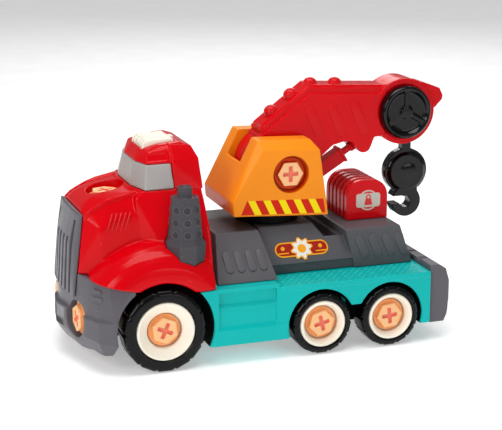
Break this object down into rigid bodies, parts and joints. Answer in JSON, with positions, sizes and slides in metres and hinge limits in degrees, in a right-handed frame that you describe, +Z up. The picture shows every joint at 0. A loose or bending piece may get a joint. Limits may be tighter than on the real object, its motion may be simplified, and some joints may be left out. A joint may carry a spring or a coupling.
{
  "type": "toy tow truck",
  "caption": "Chunky take-apart toy tow truck with a cab, flat deck, turning turret, raising crane boom, winch knobs and a swinging hook.",
  "frame": {"origin": "middle of the bounding box, on the ground the wheels stand on", "axes": "+X forward out of the grille, +Y to the truck's left, +Z up"},
  "size_m": [0.333, 0.16, 0.207],
  "materials": {
    "red_plastic": "glossy",
    "teal_plastic": "satin",
    "dark_grey_plastic": "satin",
    "mid_grey_plastic": "satin",
    "window_grey_plastic": "glossy",
    "orange_plastic": "satin",
    "peach_plastic": "satin",
    "cream_plastic": "satin",
    "black_plastic": "glossy",
    "tyre_black": "semi-gloss"
  },
  "bodies": {
    "chassis": {"front_left_screw": "peach_plastic", "front_right_screw": "peach_plastic", "middle_left_screw": "peach_plastic", "middle_right_screw": "peach_plastic", "rear_left_screw": "peach_plastic", "rear_right_screw": "peach_plastic", "front_axle": "dark_grey_plastic", "middle_axle": "dark_grey_plastic", "rear_axle": "dark_grey_plastic", "chassis_frame": "teal_plastic", "underplate": "dark_grey_plastic", "rear_bumper": "mid_grey_plastic", "deck_cover": "dark_grey_plastic", "counterweight": "red_plastic", "cab_shell": "red_plastic", "windscreen_band": "window_grey_plastic", "roof_light": "cream_plastic", "exhaust_stack_left": "mid_grey_plastic", "exhaust_stack_right": "mid_grey_plastic", "hood_screw": "peach_plastic", "grille": "mid_grey_plastic", "front_bumper": "mid_grey_plastic", "bumper_screw_left": "peach_plastic", "bumper_screw_right": "peach_plastic"},
    "front_left_wheel": {"front_left_tyre": "tyre_black", "front_left_hub": "cream_plastic"},
    "front_right_wheel": {"front_right_tyre": "tyre_black", "front_right_hub": "cream_plastic"},
    "middle_left_wheel": {"middle_left_tyre": "tyre_black", "middle_left_hub": "cream_plastic"},
    "middle_right_wheel": {"middle_right_tyre": "tyre_black", "middle_right_hub": "cream_plastic"},
    "rear_left_wheel": {"rear_left_tyre": "tyre_black", "rear_left_hub": "cream_plastic"},
    "rear_right_wheel": {"rear_right_tyre": "tyre_black", "rear_right_hub": "cream_plastic"},
    "turret": {"turret_housing": "orange_plastic", "turret_turntable": "dark_grey_plastic", "turret_retainer": "dark_grey_plastic", "boom_pivot_screw_left": "peach_plastic", "boom_pivot_screw_right": "peach_plastic", "strut_bracket": "red_plastic", "strut_foot_pin": "dark_grey_plastic"},
    "boom": {"boom_shell_left": "red_plastic", "boom_shell_right": "red_plastic", "hook_pin": "dark_grey_plastic", "strut_head_pin": "dark_grey_plastic"},
    "winch": {"winch_knob_left": "black_plastic", "winch_knob_right": "black_plastic", "winch_axle": "dark_grey_plastic"},
    "hook": {"hook": "black_plastic"},
    "strut_sleeve": {"strut_sleeve": "red_plastic"},
    "strut_rod": {"strut_rod": "red_plastic"}
  },
  "joints": [
    {"name": "front_left_wheel_spin", "type": "hinge", "parent": "chassis", "child": "front_left_wheel", "pos_m": [0.0975, 0.0685, 0.03315], "axis": [0, 1, 0], "continuous": true},
    {"name": "front_right_wheel_spin", "type": "hinge", "parent": "chassis", "child": "front_right_wheel", "pos_m": [0.0975, -0.0685, 0.03315], "axis": [0, 1, 0], "continuous": true},
    {"name": "middle_left_wheel_spin", "type": "hinge", "parent": "chassis", "child": "middle_left_wheel", "pos_m": [-0.0327, 0.0685, 0.02515], "axis": [0, 1, 0], "continuous": true},
    {"name": "middle_right_wheel_spin", "type": "hinge", "parent": "chassis", "child": "middle_right_wheel", "pos_m": [-0.0327, -0.0685, 0.02515], "axis": [0, 1, 0], "continuous": true},
    {"name": "rear_left_wheel_spin", "type": "hinge", "parent": "chassis", "child": "rear_left_wheel", "pos_m": [-0.0918, 0.0685, 0.02515], "axis": [0, 1, 0], "continuous": true},
    {"name": "rear_right_wheel_spin", "type": "hinge", "parent": "chassis", "child": "rear_right_wheel", "pos_m": [-0.0918, -0.0685, 0.02515], "axis": [0, 1, 0], "continuous": true},
    {"name": "turret_turn", "type": "hinge", "parent": "chassis", "child": "turret", "pos_m": [-0.013, 0, 0.0956], "axis": [0, 0, 1], "range_deg": [-100, 100]},
    {"name": "boom_raise", "type": "hinge", "parent": "turret", "child": "boom", "pos_m": [-0.021, 0, 0.139], "axis": [0, 1, 0], "range_deg": [0, 30]},
    {"name": "winch_turn", "type": "hinge", "parent": "boom", "child": "winch", "pos_m": [-0.1293, 0, 0.1794], "axis": [0, 1, 0], "continuous": true},
    {"name": "hook_swing", "type": "hinge", "parent": "boom", "child": "hook", "pos_m": [-0.137, 0, 0.1601], "axis": [0, 1, 0], "range_deg": [-10, 35]},
    {"name": "strut_foot_turn", "type": "hinge", "parent": "turret", "child": "strut_sleeve", "pos_m": [-0.053, 0, 0.1291], "axis": [0, 1, 0], "range_deg": [0, 38.2]},
    {"name": "strut_head_turn", "type": "hinge", "parent": "boom", "child": "strut_rod", "pos_m": [-0.0935, 0, 0.1536], "axis": [0, 1, 0], "range_deg": [0, 8.2]}
  ],
  "couplings": [
    {"joint": "strut_foot_turn", "follows": "boom_raise", "ratio": 1.268},
    {"joint": "strut_head_turn", "follows": "boom_raise", "ratio": 0.268}
  ]
}
